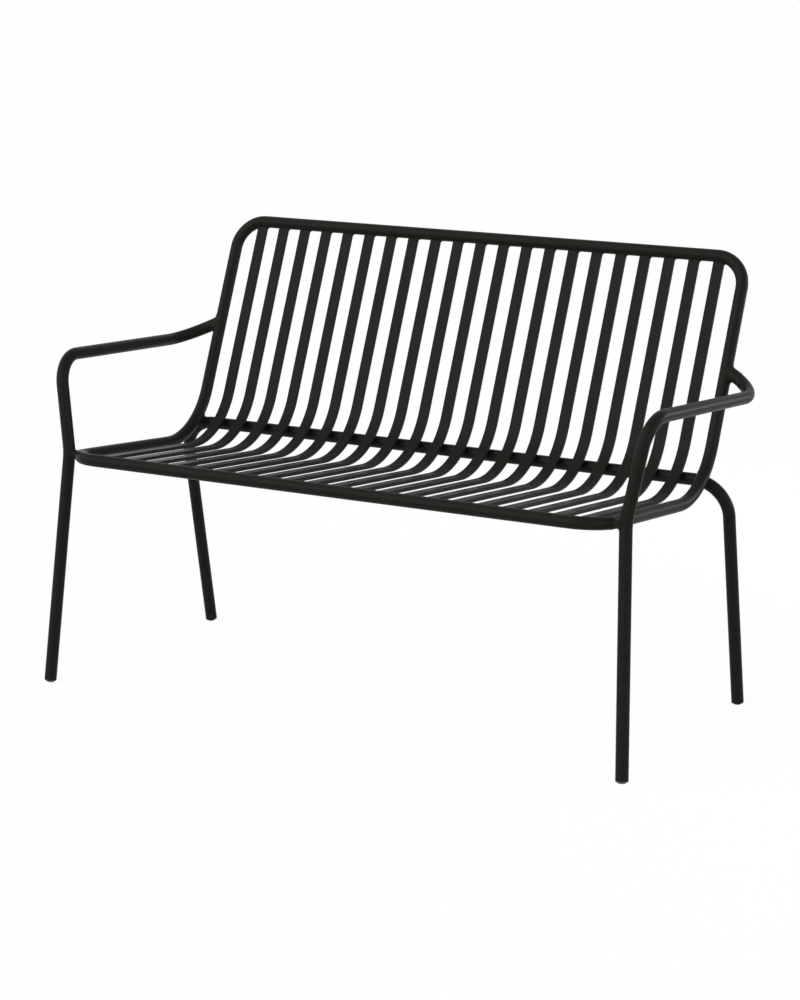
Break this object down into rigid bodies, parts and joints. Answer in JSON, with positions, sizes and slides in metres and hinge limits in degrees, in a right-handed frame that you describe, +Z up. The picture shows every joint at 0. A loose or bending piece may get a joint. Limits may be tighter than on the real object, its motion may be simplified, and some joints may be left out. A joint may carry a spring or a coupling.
{
  "type": "patio loveseat",
  "caption": "Two-seat slatted garden bench of bent round tube with curved seat-back bars, armrests that run into the front legs, and a hoop that makes the back legs.",
  "frame": {"origin": "on the ground, in the middle of the overall width and depth", "axes": "+Z up, +X along the seat to the sitter's left, +Y towards the back; the sitter faces -Y"},
  "size_m": [1.195, 0.5964, 0.7971],
  "materials": {
    "tube_paint": "satin black powder coat with a fine orange-peel texture",
    "slat_paint": "satin black powder coat with a fine orange-peel texture",
    "joint_paint": "satin black powder coat over weld metal",
    "glide_plastic": "matte black moulded plastic"
  },
  "bodies": {
    "root": {"arm_weld_left": "joint_paint", "arm_weld_right": "joint_paint", "back_frame_tube": "tube_paint", "crossbar_weld_left": "joint_paint", "crossbar_weld_right": "joint_paint", "front_glide_left": "glide_plastic", "front_glide_right": "glide_plastic", "front_leg_arm_left": "tube_paint", "front_leg_arm_right": "tube_paint", "leg_stub_left": "joint_paint", "leg_stub_right": "joint_paint", "rear_glide_left": "glide_plastic", "rear_glide_right": "glide_plastic", "rear_leg_hoop": "tube_paint", "seat_frame_tube": "tube_paint", "slat_01": "slat_paint", "slat_02": "slat_paint", "slat_03": "slat_paint", "slat_04": "slat_paint", "slat_05": "slat_paint", "slat_06": "slat_paint", "slat_07": "slat_paint", "slat_08": "slat_paint", "slat_09": "slat_paint", "slat_10": "slat_paint", "slat_11": "slat_paint", "slat_12": "slat_paint", "slat_13": "slat_paint", "slat_14": "slat_paint", "slat_15": "slat_paint", "slat_16": "slat_paint", "slat_17": "slat_paint", "slat_18": "slat_paint", "slat_19": "slat_paint", "slat_20": "slat_paint", "slat_21": "slat_paint"}
  },
  "joints": []
}
